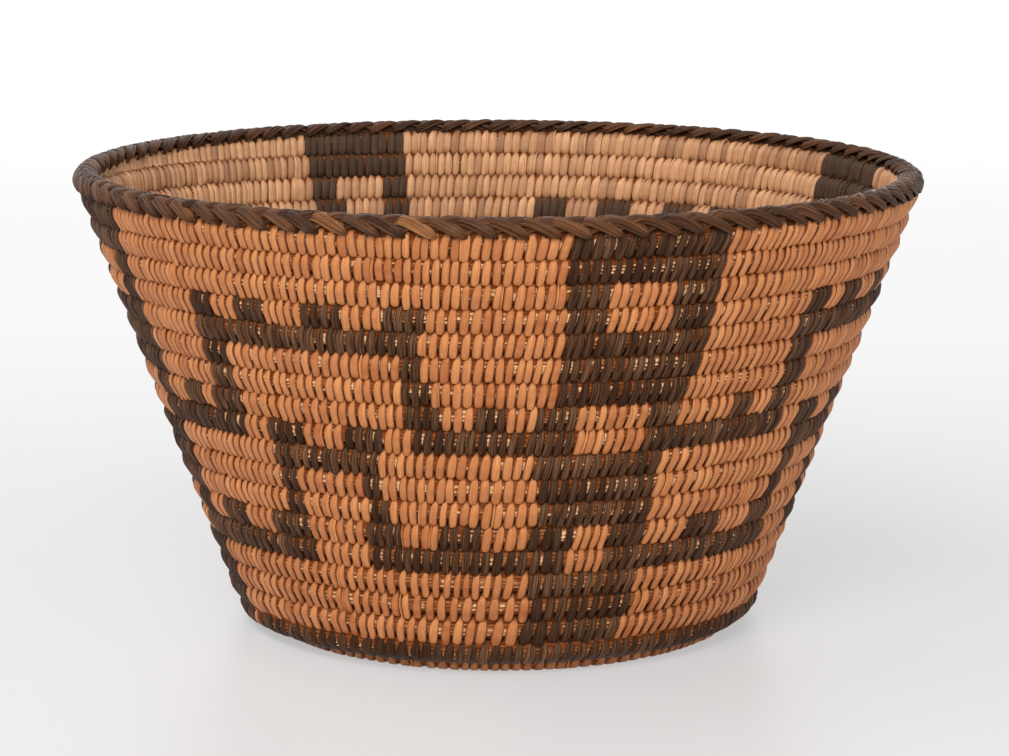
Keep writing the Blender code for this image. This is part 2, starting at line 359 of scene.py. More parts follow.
def bundle_piece(name, begin, end, nodes):
    """The bundle from one place to another, its stems ridged and slowly turning round each other."""
    turns = np.linspace(begin, end, max(3, int((end - begin) * BUNDLE_RINGS)))[:, None]
    corner = np.arange(BUNDLE_CORNERS)[None, :]
    angle = -2 * np.pi * corner / BUNDLE_CORNERS + STEM_TWIST * turns
    slow = np.sin(5.1 * turns * 2 * np.pi + corner * 2.4)
    quick = np.sin(8.7 * turns * 2 * np.pi + corner * 4.1)
    wander = slow + quick
    relief = STEM_RELIEF * (np.where(corner % 2, 1.0, -1.0) + 0.5 * wander)
    relief = relief + WEB_REACH / 2 * np.abs(np.sin(angle)) ** WEB_SHARPNESS
    reach = np.maximum(at(turns, coil_half) - SPLINT_THICKNESS, THINNEST_END / 2) + relief
    slope = (at(turns, slope_below) + at(turns, slope_above)) / 2
    points = beside_coil(turns, reach * np.cos(angle), reach * np.sin(angle), slope)
    points[..., 2] = np.maximum(points[..., 2], SPLINT_THICKNESS / 2)
    length = 2 * np.pi * at(turns, coil_radius) * turns
    fibre = (length, corner * STEM_PITCH, 0.02 * (corner // 2))

    # Straw shows on the faces of the bundle and less on its inside, and the foot is more golden than pale.
    # Straw and gold fade on its top and bottom, deep in the seams between turns, as painted shade.
    facing_out = np.clip(1.25 - 1.7 * np.sin(angle) ** 2, 0, 1) * np.where(np.cos(angle) > 0, 1.0, 0.5)
    kept_pale = np.interp(turns, (9.0, 12.0, 14.0), (0.66, 0.72, 1.0))
    straw = (0.62 + 0.22 * wander) * facing_out * kept_pale
    golden = np.interp(turns, (8.0, 11.0, 14.0, 17.0), (0.9, 0.9, 0.5, 0.15)) * facing_out
    # The third value marks the hollows between stems, which the material darkens as painted shade.
    finish = (straw, golden, np.where(corner % 2, 0.0, 1.0))
    strand_piece(name, points[None], fibre, finish, bundle_stems, nodes)


base_step = BASE_TURNS / BASE_LENGTHS
wall_step = WALL_TURNS / WALL_LENGTHS
lengths = [("start_knot", COIL_BEGIN, 0.0)]
lengths += [(f"base_coil_{n + 1:02d}", n * base_step, (n + 1) * base_step) for n in range(BASE_LENGTHS)]
lengths += [(f"wall_coil_{n + 1:02d}", BASE_TURNS + n * wall_step, BASE_TURNS + (n + 1) * wall_step)
            for n in range(WALL_LENGTHS - 1)]
lengths += [("rim_coil", TURNS - wall_step, TURNS), ("coil_tail", TURNS, COIL_END)]
for node, begin, end in lengths:
    bundle_piece(f"{node}_bundle", begin, end, [node])


# The start knot
# The first splints, plaited over and under into a small hard pad round the very start of the stems, which
# the coil then winds round. The photo doesn't show it, so its plait is a guess from baskets of this kind.
KNOT_STRIPS = 3
KNOT_STRIP_SPACING = 0.0025
KNOT_STRIP_HALF_WIDTH = 0.00118
KNOT_STRIP_HALF_DEPTH = 0.00036
KNOT_WEAVE = 0.00036
KNOT_TOP = 0.00545
KNOT_INSET = 0.0004               # the plait lies this far within the knot's radius
KNOT_SQUARENESS = 0.45            # 1 would make the loops oval, and less squares them up
KNOT_CORE_INSET = 0.0005
KNOT_CORE_BEVEL = 0.0006
KNOT_FIBRE_RADIUS = 0.0025        # of a loop, as its fibres count their length
KNOT_RINGS = 64
KNOT_CORNERS = ((-1, -1), (-0.8, 1), (0.8, 1), (1, -1))    # of a strip, in half widths and half depths


def knot_strips():
    """Flat loops across the pad, over the top and under the foot, three each way."""
    loop = np.linspace(0, 2 * np.pi, KNOT_RINGS)[None, :]
    way = np.repeat([0, 1], KNOT_STRIPS)[:, None]
    place = np.tile(np.arange(KNOT_STRIPS) - (KNOT_STRIPS - 1) / 2, 2)[:, None]
    aside = place * KNOT_STRIP_SPACING

    # Each loop is a squared-up oval, shorter at the sides of the pad, that waves over and under.
    half = KNOT_RADIUS - KNOT_INSET - 0.16 * np.abs(aside)
    middle = KNOT_TOP / 2
    across = half * np.sign(np.cos(loop)) * np.abs(np.cos(loop)) ** KNOT_SQUARENESS
    rise = (middle - 2.2 * KNOT_WEAVE) * np.sign(np.sin(loop)) * np.abs(np.sin(loop)) ** KNOT_SQUARENESS
    over = np.where((place + way) % 2 == 0, 1, -1) * np.cos(np.pi * across / KNOT_STRIP_SPACING)
    up = middle + rise + KNOT_WEAVE * over * np.sign(rise) * np.minimum(1, np.abs(rise) / 0.001)
    centre = np.stack([across, up], axis=-1)
    along = np.gradient(centre, axis=1)
    along /= np.linalg.norm(along, axis=-1, keepdims=True)
    normal = np.stack([along[..., 1], -along[..., 0]], axis=-1)

    # The strip's section goes round it, one way across for three of them and the other way for the rest.
    wide, deep = np.array(KNOT_CORNERS).T[:, None, None]
    lifted = centre[:, :, None] + normal[:, :, None] * deep[..., None] * KNOT_STRIP_HALF_DEPTH
    sideways = aside[:, :, None] + wide * KNOT_STRIP_HALF_WIDTH + 0 * lifted[..., 0]
    first = way[:, :, None] == 0
    right = np.where(first, lifted[..., 0], sideways)
    back = np.where(first, sideways, lifted[..., 0])
    points = np.stack([right, back, np.maximum(lifted[..., 1], 0)], axis=-1)
    points[way[:, 0] == 1] = points[way[:, 0] == 1][:, :, ::-1]
    length = loop[..., None] * KNOT_FIBRE_RADIUS
    fibre = (length, wide * KNOT_STRIP_HALF_WIDTH, way[..., None] + place[..., None])
    # The third value sets the material's painted shade at the strips' edges.
    return points, fibre, (0.4, 0.0, np.abs(wide))


def knot_core():
    """The stems' tied start, inside the plait."""
    low, high = KNOT_CORE_BEVEL, 2 * KNOT_CORE_BEVEL
    height = np.array([low, high, KNOT_TOP - high, KNOT_TOP - low])[:, None]
    girth = (KNOT_RADIUS - KNOT_CORE_INSET) * np.array([0.8, 1.0, 1.0, 0.8])[:, None]
    round_it = 2 * np.pi * np.arange(BUNDLE_CORNERS)[None] / BUNDLE_CORNERS
    points = np.stack([girth * np.cos(round_it), girth * np.sin(round_it), height + 0 * round_it], axis=-1)
    fibre = (height, round_it * KNOT_RADIUS, 0.5)
    strand_piece("start_knot_core", points[None], fibre, (0.3, 0.0, 1.0),
                 bundle_stems, ["start_knot"])


knot_core()


# The sewing
# Each splint is a peeled strip of willow, or of black devil's claw. It comes out between two splints of
# the turn below, wraps the bundle up the outside, over the top and down the inside, and is drawn tight.
# The face is crowned, the lower end full and round, and the top narrows between the splints sewn above.
PITCH_PLACES = (0, 8.5, 9.5, 11, 13, 15.5, 19, 26)         # turns of the coil
SPLINT_PITCHES = (0.00275, 0.00285, 0.00292, 0.00264, 0.00246, 0.00244, 0.00240, 0.00234)
UNSEWN_START = 0.02               # of a turn, at the coil's thin start
UNSEWN_END = 0.015                # and at its tapered end
GAPS_TO_WIDEN = 6                 # over which one splint more or less than there are gaps goes in
SEWING_LEAN = 0.00115             # how far a splint runs along the coil on its way up one side
SEWING_RISE = 0.012               # length of its way up one side
# Rings of a splint: angle up from straight out, lift off the coil, direction of the crown, and share of
# the width outside and inside. The first three lie on the course below and the rest on its own course.
# Between them the splint is drawn straight and tight.
RINGS_BELOW = (
    (56, -0.00120, -60, 0.30, 0.34),
    (50, -0.00040, -40, 0.64, 0.76),
    (50, 0.00028, -24, 0.85, 0.98),
)
RINGS_ABOVE = (
    (-52, 0.00094, -18, 0.96, 1.06),
    (-40, 0.00044, -19, 1.00, 1.10),
    (-25, 0.00010, -16, 1.00, 1.10),
    (-8, 0.0, -8, 1.00, 1.08),
    (10, 0.0, 10, 0.99, 1.04),
    (26, 0.0, 26, 0.95, 0.92),
    (42, 0.0, 42, 0.82, 0.66),
    (56, 0.0, 56, 0.60, 0.44),
    (74, 0.0, 74, 0.42, 0.36),
    (90, 0.0, 90, 0.40, 0.40),
)
WIDE_UNDER_BRAID = 0.90           # least share of the width high on the last turn, with none sewn above
ACROSS = np.array([-1, -0.62, 0, 0.62, 1])                 # over the face, in half widths
CROWN = np.array([1, 0.20, 0, 0.20, 1]) * 0.00052          # how far the face falls away there
CLEAR_OF_FLOOR = 0.00003
SLIVER_SHARE = 18                 # one splint in so many has split
SLIVER_LIFT = 0.00022
WILLOW_LIGHT = (0.66, 0.272, 0.094)
WILLOW_DEEP = (0.37, 0.108, 0.026)
WILLOW_INSIDE_WITH_SHEEN = (0.76, 0.425, 0.215)
WILLOW_DULL = (0.30, 0.155, 0.085)
# For the specks, and for the painted shade at the splints' edges.
WILLOW_SPECK_AND_SHADE = (0.105, 0.017, 0.001)
CLAW_DARK = (0.026, 0.0085, 0.0028)
CLAW_BROWN = (0.225, 0.108, 0.052)
CLAW_INSIDE = (0.120, 0.072, 0.045)
BRAID_CROSSINGS = 96              # legs of the rim braid on each side, whose holes are in the last turn
BRAID_RUN = 0.0142                # along the rim from a leg's hidden head to its hole
HOLE_PUSH = 0.0011                # how far a hole pushes the splints beside it
HOLE_DEPTH = math.radians(55)     # up from straight out, where the push is full

rim_at = TURNS - 0.5
rim_half = at(rim_at, coil_half)
rim_radius = at(rim_at, coil_radius)
rim_height = at(rim_at, coil_height)
rim_slope = at(rim_at, slope_below)


def sew_tips():
    """Where each splint comes out of the turn below, in turns of the coil. Each goes into the next gap
    between two splints there. Where the wall has widened by most of a splint, the next few are spread, so
    that one more goes in than there are gaps."""
    tips = [COIL_BEGIN + UNSEWN_START]
    below = 0
    spare = 0.0
    spread = []
    while tips[-1] < COIL_END - UNSEWN_END:
        last = tips[-1]
        around = 2 * math.pi * at(last, coil_radius)
        step = np.interp(last, PITCH_PLACES, SPLINT_PITCHES) / around
        if last < tips[0] + 1.1:
            tips.append(last + step)
            continue
        if not spread:
            gaps = []
            for n in range(below, below + GAPS_TO_WIDEN):
                gaps.append(np.mean(tips[max(0, n - 2):n + 4]) + 1 + SEWING_LEAN / around)
            count = 1
            end = gaps[0]
            if abs(spare) > 0.6:
                count = max(2, round((gaps[-1] - last) / step + spare))
                end = gaps[-1]
                below += GAPS_TO_WIDEN - 1
            below += 1
            spread = list(np.linspace(last, end, count + 1)[1:])
        place = max(spread.pop(0), last + 0.4 * step)
        spare += (place - last) / step - 1
        tips.append(place)
    return np.array(tips)


def half_path(own, under, apart, slope_down, slope_up, nose):
    """Outside half of a splint's way, ring by ring from its lower end to the top of the coil: outward,
    upward, slope of the section plane, the crown's direction, and shares of width outside and inside."""
    low = np.array(RINGS_BELOW)
    low_angle = np.radians(low[:, 0] + nose)
    low_reach = under + low[:, 1]
    low_up = low_reach * np.sin(low_angle) - apart
    low_slope = slope_down + 0 * low_angle
    high = np.array(RINGS_ABOVE)
    high_angle = np.radians(high[:, 0])
    high_reach = own + high[:, 1]
    turned = (high_angle + np.pi / 2) / np.pi
    high_slope = slope_down + (slope_up - slope_down) * turned
    outward = np.concatenate([low_reach * np.cos(low_angle), high_reach * np.cos(high_angle)], axis=1)
    upward = np.concatenate([low_up, high_reach * np.sin(high_angle)], axis=1)
    slope = np.concatenate([low_slope, high_slope], axis=1)
    both = np.concatenate([low, high])
    return outward, upward, slope, np.radians(both[:, 2])[None], both[:, 3][None], both[:, 4][None]


def fan_out(place, outward, upward):
    """How far the splints of the last turn are pushed aside, high up, by the holes of the rim braid."""
    hole = BRAID_RUN / (2 * np.pi * rim_radius) * BRAID_CROSSINGS + np.where(outward > 0, 0.0, 0.5)
    apart = (place * BRAID_CROSSINGS - hole + 0.5) % 1 - 0.5
    high = np.clip(np.arctan2(upward, np.abs(outward)) / HOLE_DEPTH, 0, 1) ** 1.5
    push = np.sign(apart) * (0.5 - np.abs(apart)) * HOLE_PUSH * high
    return np.where(place > TURNS - 1, push, 0.0)


def splints(place, width, lean, nose, proud, shift, tuck):
    """Points of these splints, and for each ring how far along the path, over to the inside, wide and near
    to the lower end it is."""
    given = (place, width, lean, nose, proud, shift, tuck)
    place, width, lean, nose, proud, shift, tuck = (np.reshape(each, (-1, 1)) for each in given)
    own = at(place, coil_half) + proud
    under = at(place - 1, coil_half)
    apart = np.hypot(at(place, coil_radius) - at(place - 1, coil_radius),
                     at(place, coil_height) - at(place - 1, coil_height))
    started = place > COIL_BEGIN + 1
    apart = np.where(started, apart, 2 * own + SEAT_GAP)
    under = np.where(started, under, own)
    outward, upward, slope, crown, wide_outside, wide_inside = half_path(
        own, under, apart, at(place, slope_below), at(place, slope_above), nose)
    gone = np.linspace(0, 1, outward.shape[1])[None] ** 1.25

    def both(outer, inner):
        """The way up the outside and then down the inside."""
        outer, inner = np.broadcast_arrays(outer, inner)
        return np.concatenate([outer, inner[:, -2::-1]], axis=1)[..., None]

    # Ring by ring, over the top and down the other side.
    outward = both(outward, -outward)
    upward = both(upward, upward)
    slope = both(slope, slope)
    high_up = np.linspace(0, 1, wide_outside.shape[1])[None] > 0.5
    least = np.where(high_up & (place > TURNS - 1), WIDE_UNDER_BRAID, 0.0)
    share_wide = both(np.maximum(wide_outside, least), np.maximum(wide_inside, least))
    tip = np.interp(np.arange(high_up.size), (1, 2, 3), (1.0, 0.7, 0.0))[None]
    tip = both(tip, tip)
    crown = both(crown, np.pi - crown)
    gone = both(gone + 0 * own, 2 - gone + 0 * own)
    inside = np.clip(0.5 - outward / own[..., None] * 0.9, 0, 1)

    # Each ring spreads over the face, falls away at its edges, and lies along the coil by its lean.
    fall = CROWN * np.minimum(1, share_wide + 0.25)
    outward = outward - fall * np.cos(crown)
    upward = upward - fall * np.sin(crown)
    local = at(place, coil_radius)[..., None] + outward * np.sin(slope) + upward * np.cos(slope)
    near_end = np.minimum(gone, 2 - gone)
    along = gone * SEWING_LEAN + near_end * (lean[..., None] - SEWING_LEAN)
    along = along + ACROSS * share_wide * width[..., None] / 2
    low = np.clip(1 - near_end / 0.5, 0, 1)
    along = along + shift[..., None] + tuck[..., None] * low + fan_out(place[..., None], outward, upward)
    turns = place[..., None] + along / (2 * np.pi * local)
    points = beside_coil(turns, outward, upward, slope)
    points[..., 2] = np.maximum(points[..., 2], CLEAR_OF_FLOOR)
    return points, gone, inside, share_wide, tip


# The design is four-fold: a dark column and, on its left, a stepped fret. It is written as the dark
# stretches of each course, counted down from the rim, in degrees from the middle of the column.
COLUMNS = (20.0, 111.0, 203.8, 287.7)    # bearings of the columns at the rim, to the right of the front
NARROWER = (1.0, 0.82, 0.80, 1.0)        # the two at the back are narrower
COLUMN_REACH = 12.0                      # to each side of its middle; the fret takes up the rest
COLUMN_LEAN = 0.25                       # to the left with each course down
REPEAT = 91.0                            # from one column to the next, as the design is written
RIGHT_FRET_ON = 4.8                      # how much further on the fret right of the front lies
RIGHT_FRET_LESS = 0.2                    # and so much less with each course down
DESIGN = {
    1: ((-10.5, 10.5),),
    2: ((-10.8, 10.7),),
    3: ((-10.4, -5.0), (4.4, 10.8)),
    4: ((-66.0, -61.5), (-57.0, -51.5), (-46.0, -40.5), (-35.0, -29.0), (-10.0, -4.5), (4.5, 11.0)),
    5: ((-65.8, -29.0), (-10.0, 11.0)),
    6: ((-65.4, -61.0), (-32.4, -28.9), (-10.0, 10.8)),
    7: ((-65.0, -60.7), (-32.0, -28.5), (-10.0, 10.7)),
    8: ((-74.5, -70.3), (-66.3, -60.5), (-31.3, -26.3), (-21.3, -16.3), (-11.8, -6.5), (4.2, 10.9)),
    9: ((-82.0, -60.7), (-55.7, -48.2), (-42.2, -35.7), (-31.2, -6.2), (4.3, 12.0)),
    10: ((-55.5, -35.8), (-11.3, 9.0)),
    11: ((-55.2, -51.2), (-39.3, -35.6), (-11.3, 9.2)),
    12: ((-55.0, -51.0), (-39.2, -35.5), (-11.2, 9.3)),
    13: ((-75.0, -66.8), (-59.5, -50.5), (-39.2, -32.8), (-26.5, -18.8), (-11.0, -3.7), (2.0, 9.7)),
    14: ((-82.0, -50.4), (-39.0, -3.9), (2.3, 12.0)),
    15: ((-10.7, 10.0),),
    16: ((-10.7, 10.0),),
    17: ((-10.6, 10.0),),
    18: ((-81.0, 11.0),),
}


def is_dark(turns):
    """Whether the design is dark at this place on the coil."""
    if turns < 0:
        return True
    course = TURNS - int(turns)
    if course not in DESIGN:
        return False
    bearing = (turns % 1 - 0.25) * 360 + COLUMN_LEAN * (course - 1)
    columns = [COLUMNS[-1] - 360, *COLUMNS, COLUMNS[0] + 360]
    widths = [NARROWER[-1], *NARROWER, NARROWER[0]]
    for n in range(len(columns) - 1):
        left, right = columns[n], columns[n + 1]
        from_column = (bearing - right) * REPEAT / (right - left)
        if abs(bearing - left) < COLUMN_REACH * widths[n]:
            from_column = (bearing - left) / widths[n]
        elif abs(bearing - right) < COLUMN_REACH * widths[n + 1]:
            from_column = (bearing - right) / widths[n + 1]
        elif not left < bearing < right:
            continue
        elif from_column > -COLUMN_REACH:
            return False
        elif left == COLUMNS[0]:
            on = RIGHT_FRET_ON - RIGHT_FRET_LESS * course
            # It comes in over ten degrees and goes out over twenty, so that the bands meet the columns.
            coming_in = max(0, (from_column + 81) / 10)
            going_out = (-COLUMN_REACH - from_column) / 20
            from_column -= on * min(1, coming_in, going_out)
        return any(begin <= from_column <= end for begin, end in DESIGN[course])
    return False


def willow_material():
    """Peeled willow gone orange with age, with brown fibres and specks, painted shade at its edges and
    lower end, and paler in the bowl, partly a painted sheen.
    """
    material, tree, shader = new_material("willow_splints", 0.28)
    grain = grain_in(tree, 2.8, 0.14)
    tone, inside, edge = finish_in(tree)
    warm = mixed(tree, tone, WILLOW_DEEP, WILLOW_LIGHT)
    outside = mixed(tree, math_node(tree, "MULTIPLY", grain["Patches"], 0.40), warm, WILLOW_LIGHT)
    # Inside the bowl the willow is paler, partly as a painted sheen.
    pale = mixed(tree, stepped(tree, tone, -0.25, 0.85), WILLOW_DULL, WILLOW_INSIDE_WITH_SHEEN)
    colour = mixed(tree, inside, outside, pale)
    lines = math_node(tree, "MULTIPLY", math_node(tree, "SUBTRACT", 1.0, grain["Lines"]), 0.46)
    colour = mixed(tree, lines, colour, WILLOW_DEEP)
    # Painted shade: each splint's edges and lower end go dark, less so inside the bowl.
    less_inside = math_node(tree, "SUBTRACT", 0.90, math_node(tree, "MULTIPLY", inside, 0.45))
    edge_shade = math_node(tree, "MULTIPLY", stepped(tree, edge, 0.64, 0.96), less_inside)
    colour = mixed(tree, edge_shade, colour, WILLOW_SPECK_AND_SHADE)
    colour = mixed(tree, math_node(tree, "MULTIPLY", grain["Specks"], 0.75), colour, WILLOW_SPECK_AND_SHADE)
    tree.links.new(colour, shader.inputs["Base Color"])
    roughen(tree, shader, grain["Lines"], 0.33, 0.16)
    raise_grain(tree, shader, grain["Lines"], 0.00011)
    return material


def claw_material():
    """Devil's claw: nearly black, with coarse brown fibres, and some strips browner than others."""
    material, tree, shader = new_material("claw_splints", 0.10)
    grain = grain_in(tree, 4.2, 0.10)
    tone, inside, edge = finish_in(tree)
    brown = mixed(tree, inside, CLAW_BROWN, CLAW_INSIDE)
    shade = math_node(tree, "ADD", math_node(tree, "MULTIPLY", tone, 0.8), 0.20)
    shade = math_node(tree, "MULTIPLY", grain["Lines"], shade, clamp=True)
    colour = mixed(tree, shade, CLAW_DARK, brown)
    colour = mixed(tree, math_node(tree, "MULTIPLY", inside, 0.45), colour, CLAW_INSIDE)
    # Painted shade: the edges and lower ends of the splints go dark.
    edges = math_node(tree, "MULTIPLY", stepped(tree, edge, 0.70, 1.0), 0.8)
    colour = mixed(tree, edges, colour, CLAW_DARK)
    tree.links.new(colour, shader.inputs["Base Color"])
    roughen(tree, shader, grain["Lines"], 0.38, 0.18)
    raise_grain(tree, shader, grain["Lines"], 0.00014)
    return material


willow_splints = willow_material()
claw_splints = claw_material()

# The splints lie evenly side by side, and the lower end of each is drawn over to its gap.
tips = sew_tips()
padded = np.pad(tips, 2, mode="reflect", reflect_type="odd")
places = np.convolve(padded, np.full(5, 0.2), mode="valid")
around = 2 * np.pi * at(places, coil_radius)
spacing = np.gradient(places) * around
tuck = np.clip((tips - places) * around / spacing, -0.4, 0.4) * spacing
places = places + rng.normal(0, 0.035, len(places)) * spacing / around
leaning_more = 0.25 * np.sin(places * 11.0 + np.sin(places * 3.7))
lean = SEWING_LEAN * (rng.normal(1.0, 0.16, len(places)) + leaning_more)
middle = places + 0.5 * lean / around
dark = np.array([is_dark(turns) for turns in middle])

# No two are alike in width, lower end, height and tone, and at the foot the stems show between them.
loose = np.interp(places, (0, 8.8, 9.5, 11, 12, 13, 26), (0.95, 0.95, 0.78, 0.78, 0.86, 0.92, 0.95))
loose = np.where(dark, np.interp(places, (0, 8.9, 9.6, 12, 26), (0.98, 0.96, 0.88, 0.87, 0.90)), loose)
loose = loose + 0.06 * (places > TURNS - 1)
fill = loose + rng.normal(0.0, 0.04, len(places))
width = spacing * np.clip(fill, 0.62, 1.03)
nose = rng.normal(0.0, 3.0, len(places))
proud = rng.normal(0.0, 0.00008, len(places))
tone = rng.normal(0.55, 0.24, len(places)) + 0.12 * np.sin(places * 9.0)
tone = tone + np.where(dark, 0.28 * np.sin(places * 23.0 + np.sin(places * 5.3)) - 0.08, 0.0)
browner_at_foot = np.interp(places, (8, 10, 13, 15), (0.20, 0.20, 0.10, 0.0))
tone = tone - browner_at_foot
tone = np.clip(tone, 0, 1)
shift = np.zeros(len(places))

# Here and there a sliver has split off one edge of a splint.
split = rng.permutation(len(places))[:len(places) // SLIVER_SHARE]
side = rng.choice([-1.0, 1.0], len(split))
places = np.append(places, places[split])
shift = np.append(shift, side * 0.40 * spacing[split])
tuck = np.append(tuck, tuck[split])
lean = np.append(lean, lean[split] + rng.normal(0, 0.00035, len(split)))
dark = np.append(dark, dark[split])
width = np.append(width, width[split] * rng.uniform(0.20, 0.34, len(split)))
nose = np.append(nose, nose[split] + 2.0)
proud = np.append(proud, np.full(len(split), SLIVER_LIFT))
tone = np.append(tone, np.clip(tone[split] + 0.3, 0, 1))

sewings = (
    ("willow", willow_splints, "willow_sewing", ~dark),
    ("claw", claw_splints, "devils_claw_sewing", dark),
)
for node, begin, end in lengths:
    for sewing, material, slot, chosen in sewings:
        here = np.flatnonzero(chosen & (places >= begin) & (places < end))
        if len(here) == 0:
            continue
        points, gone, inside, wide, tip = splints(
            places[here], width[here], lean[here], nose[here], proud[here], shift[here], tuck[here])
        number = here[:, None, None] * 7.31
        fibre = (gone * SEWING_RISE, ACROSS * wide * width[here, None, None] / 2, number)
        # Inside the bowl the upper part of each splint is dusty, and its edges and lower end carry painted
        # shade.
        dusty = 0.55 * inside * np.clip(1.55 - gone, 0, 0.5) / 0.5
        finish = (tone[here, None, None] - dusty, inside, np.maximum(np.abs(ACROSS), tip))
        strand_piece(f"{node}_{sewing}", points, fibre, finish, material, [node])

points, fibre, finish = knot_strips()
strand_piece("start_knot_plait", points, fibre, finish, claw_splints, ["start_knot"])


# The rim braid
# Two dark splints worked back and forth over the last turn in a herringbone. Each crossing lies as a leg
# of fine strips, twisted together, from under the crest down to a hole in the last turn, outside and
# inside by turns. A leg narrows to a claw where it goes into its hole.
BRAID_HEAD_ANGLE = 106            # degrees up from straight out
BRAID_TIP_ANGLE = 38
BRAID_REACHES = ((20, 0.0008), (39, 0.0013), (63, 0.0021), (90, 0.0029), (120, 0.0019))   # past the coil
HEAD_SUNK = 0.0023                # under the legs that cross it
TIP_SUNK = 0.0022                 # into its hole
LEG_STRIPS = 7
STRIP_SPACING = 0.00052
STRIP_HALF_WIDTH = 0.00036
STRIP_HALF_HEIGHT = 0.00038
STRIP_UNEVEN = 0.00007
LEG_TWIST = 0.00012
LEG_RINGS = 22
STRIP_CORNERS = 6
CORE_ANGLES = (67, 76, 90, 104, 113, 113, 104, 90, 76, 67)
CORE_LIFTS = (0.0005, 0.0012, 0.0019, 0.0012, 0.0005, -0.0005, -0.0005, -0.0005, -0.0005, -0.0005)
CORE_RINGS = 361
BRAID_DARK = (0.024, 0.0090, 0.0040)
BRAID_BROWN = (0.350, 0.132, 0.044)
BRAID_WORN = (0.54, 0.220, 0.072)


def over_rim(turns, angle, reach):
    """A point round the last turn: angle up from straight out, reach from the coil's centre."""
    outward = reach * np.cos(angle)
    upward = reach * np.sin(angle)
    return beside_line(turns, rim_radius, rim_height, outward, upward, rim_slope)


def braid_legs(side):
    """The strips of every leg on one side, outside (1) or inside (-1)."""
    leg = np.repeat(np.arange(BRAID_CROSSINGS), LEG_STRIPS)[:, None]
    strip = np.tile(np.arange(LEG_STRIPS) - (LEG_STRIPS - 1) / 2, BRAID_CROSSINGS)[:, None]
    gone = np.linspace(0, 1, LEG_RINGS)[None]
    per_leg = rng.normal(0, 1, (3, BRAID_CROSSINGS)).repeat(LEG_STRIPS, axis=1)[:, :, None]
    start = (leg + (0.5 if side < 0 else 0.0) + 0.05 * per_leg[0]) / BRAID_CROSSINGS

    # The leg's middle line sweeps along the rim, from under the crest over it and down to the hole.
    run = BRAID_RUN * (1.12 * gone - 0.12 * gone ** 3)
    turns = start + run / (2 * np.pi * rim_radius)
    angle = BRAID_HEAD_ANGLE + (BRAID_TIP_ANGLE + 2 * per_leg[1] - BRAID_HEAD_ANGLE) * gone ** 1.5
    angles, reaches = zip(*BRAID_REACHES)
    reach = rim_half + SEAT_GAP + np.interp(angle, angles, reaches) - STRIP_HALF_HEIGHT
    reach = reach - HEAD_SUNK * np.clip(1 - gone / 0.50, 0, 1) ** 1.5
    reach = reach - TIP_SUNK * np.clip((gone - 0.90) / 0.10, 0, 1) ** 1.8
    turned = np.radians(np.where(side > 0, angle, 180 - angle))
    centre = over_rim(turns, turned, reach)
    normal = (over_rim(turns, turned, reach + 0.001) - centre) / 0.001
    along = np.gradient(centre, axis=1)
    along /= np.linalg.norm(along, axis=-1, keepdims=True)
    across = np.cross(along, normal)

    # Its strips lie side by side over a low crown, twist a little and gather to a claw at the tip.
    gather = 1.0 - 0.50 * np.clip((gone - 0.55) / 0.45, 0, 1) ** 1.6
    twist = np.radians(60) * (gone - 0.45 + 0.25 * per_leg[2])
    aside = strip * STRIP_SPACING * gather
    sunk = -STRIP_UNEVEN * strip ** 2 + LEG_TWIST * strip * np.sin(twist) * gather
    sunk = sunk + STRIP_UNEVEN * rng.normal(0, 1, (len(leg), 1))
    centre = centre + across * aside[..., None] + normal * sunk[..., None]
    corner = -2 * np.pi * np.arange(STRIP_CORNERS) / STRIP_CORNERS
    thin = (0.35 + 0.65 * np.clip((1 - gone) / 0.22, 0, 1))[..., None, None]
    thick = rng.uniform(0.75, 1.20, (len(leg), 1, 1, 1))
    wide = np.cos(corner)[:, None] * STRIP_HALF_WIDTH * thin * thick
    high = np.sin(corner)[:, None] * STRIP_HALF_HEIGHT * thin
    points = centre[:, :, None] + across[:, :, None] * wide + normal[:, :, None] * high
    length = np.broadcast_to(gone[..., None] * BRAID_RUN, points.shape[:3])
    number = (leg * LEG_STRIPS + strip)[..., None] * 3.7 + side

    # Some legs at the front are worn to orange brown. Further round from the front all legs are darker, a
    # painted shade.
    bearing = ((start - 0.25 + 0.5) % 1 - 0.5) * 360
    worn = np.exp(-((bearing + 12) / 17) ** 2) if side > 0 else 0 * bearing
    light = rng.normal(0.32, 0.14, (2, BRAID_CROSSINGS)).repeat(LEG_STRIPS, axis=1)[:, :, None]
    away = 1 - np.exp(-(bearing / 55) ** 2)
    light = light[0] + worn * np.where(light[1] > 0.36, 0.62, 0.0) - 0.24 * away
    light = light + rng.normal(0, 0.08, (len(leg), 1))
    fibre = (length, corner * STRIP_HALF_WIDTH, number)
    return points, fibre, (np.clip(light, 0, 1)[..., None], 0.0, 0.0)


def braid_material():
    """Devil's claw worn by handling: dark and glossy, with some legs worn through to orange brown."""
    material, tree, shader = new_material("braid_splints", 0.16)
    grain = grain_in(tree, 3.6, 0.10)
    tone, _, _ = finish_in(tree)
    brown = mixed(tree, stepped(tree, tone, 0.55, 0.95), BRAID_BROWN, BRAID_WORN)
    shade = math_node(tree, "ADD", math_node(tree, "MULTIPLY", grain["Lines"], 0.75), 0.15)
    shade = math_node(tree, "MULTIPLY", shade, math_node(tree, "ADD", tone, 0.20), clamp=True)
    tree.links.new(mixed(tree, shade, BRAID_DARK, brown), shader.inputs["Base Color"])
    roughen(tree, shader, grain["Lines"], 0.13, 0.24)
    raise_grain(tree, shader, grain["Lines"], 0.00012)
    return material


braid_splints = braid_material()


